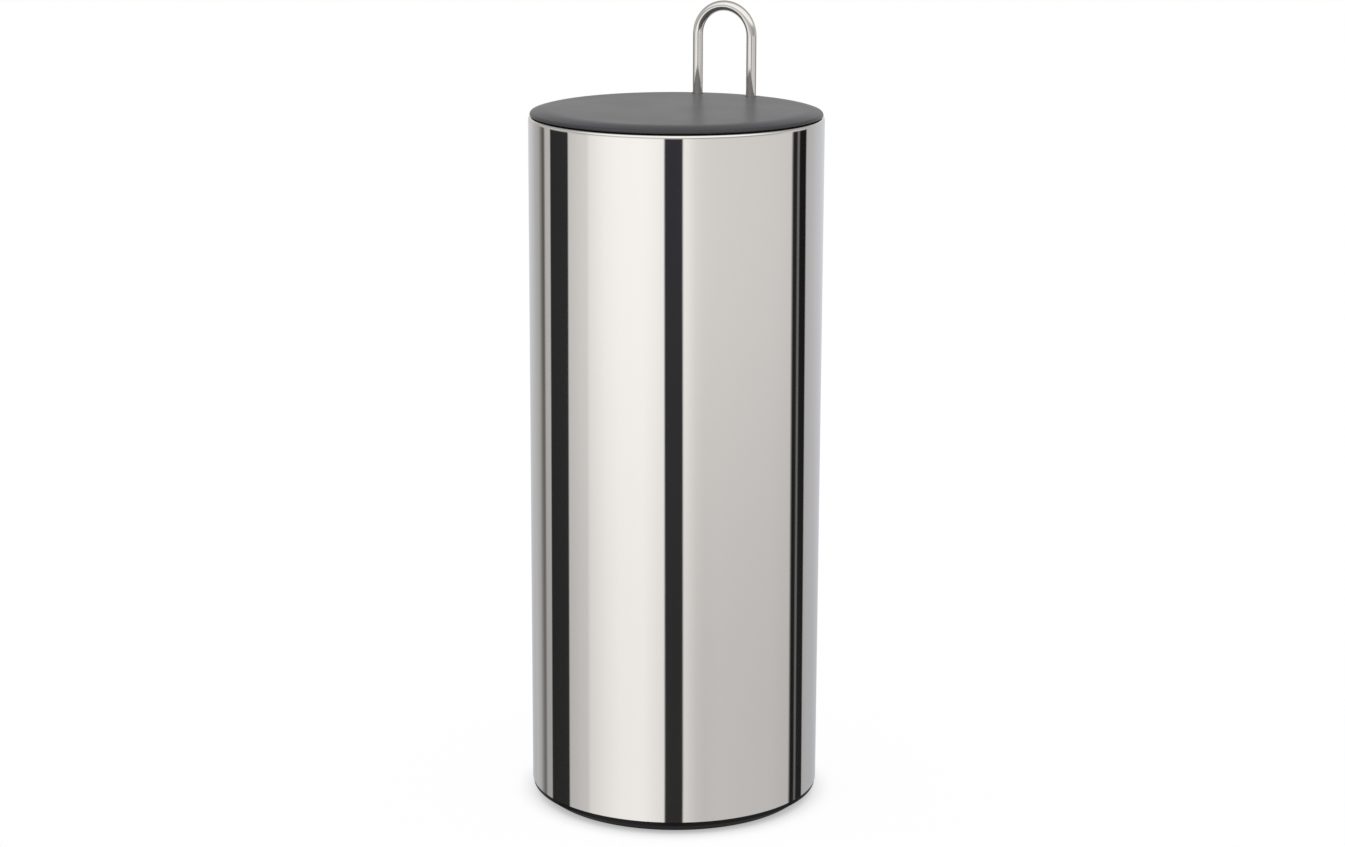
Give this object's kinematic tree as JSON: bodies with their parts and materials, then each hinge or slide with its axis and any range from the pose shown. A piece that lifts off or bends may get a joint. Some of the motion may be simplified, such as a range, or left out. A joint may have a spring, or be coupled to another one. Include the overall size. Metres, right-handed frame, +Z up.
{
  "type": "toilet roll holder",
  "caption": "Free-standing holder for spare toilet rolls: a tall polished steel tube with a dark lid, and a lift-out tray on a bent wire handle.",
  "frame": {"origin": "middle of the footprint, at the level of the floor it stands on", "axes": "+Z up along the tube, +Y towards the wire handle at the back, +X to the right seen from the front"},
  "size_m": [0.14, 0.14, 0.3833],
  "materials": {
    "polished_steel": "mirror polished stainless sheet",
    "polished_rod": "polished stainless wire",
    "soft_touch_plastic": "fine matte, soft to the touch",
    "black_plastic": "satin moulded",
    "grey_plastic": "fine spark texture",
    "grey_rubber": "matte",
    "black_rubber": "matte",
    "zinc_steel": "zinc plated",
    "plain_steel": "punched plate, zinc plated"
  },
  "bodies": {
    "canister": {"outer_tube": "polished_steel", "base_moulding": "black_plastic", "foot_ring": "grey_rubber", "base_screws": "zinc_steel", "base_weight": "plain_steel", "weight_cover": "grey_plastic"},
    "carrier": {"lid_cover": "soft_touch_plastic", "lid_seal": "black_rubber", "lid_plate": "grey_plastic", "lid_screws": "zinc_steel", "handle_rod": "polished_rod", "rod_bushes": "black_plastic", "rod_clamp": "grey_plastic", "clamp_screws": "zinc_steel", "rod_clips": "zinc_steel", "tray": "grey_plastic", "tray_edge_ring": "black_rubber", "tray_feet": "black_rubber", "rod_washers": "zinc_steel", "rod_nuts": "zinc_steel"}
  },
  "joints": [
    {"name": "carrier_lift", "type": "slide", "parent": "canister", "child": "carrier", "axis": [0, 0, 1], "range_m": [0, 0.335]}
  ]
}
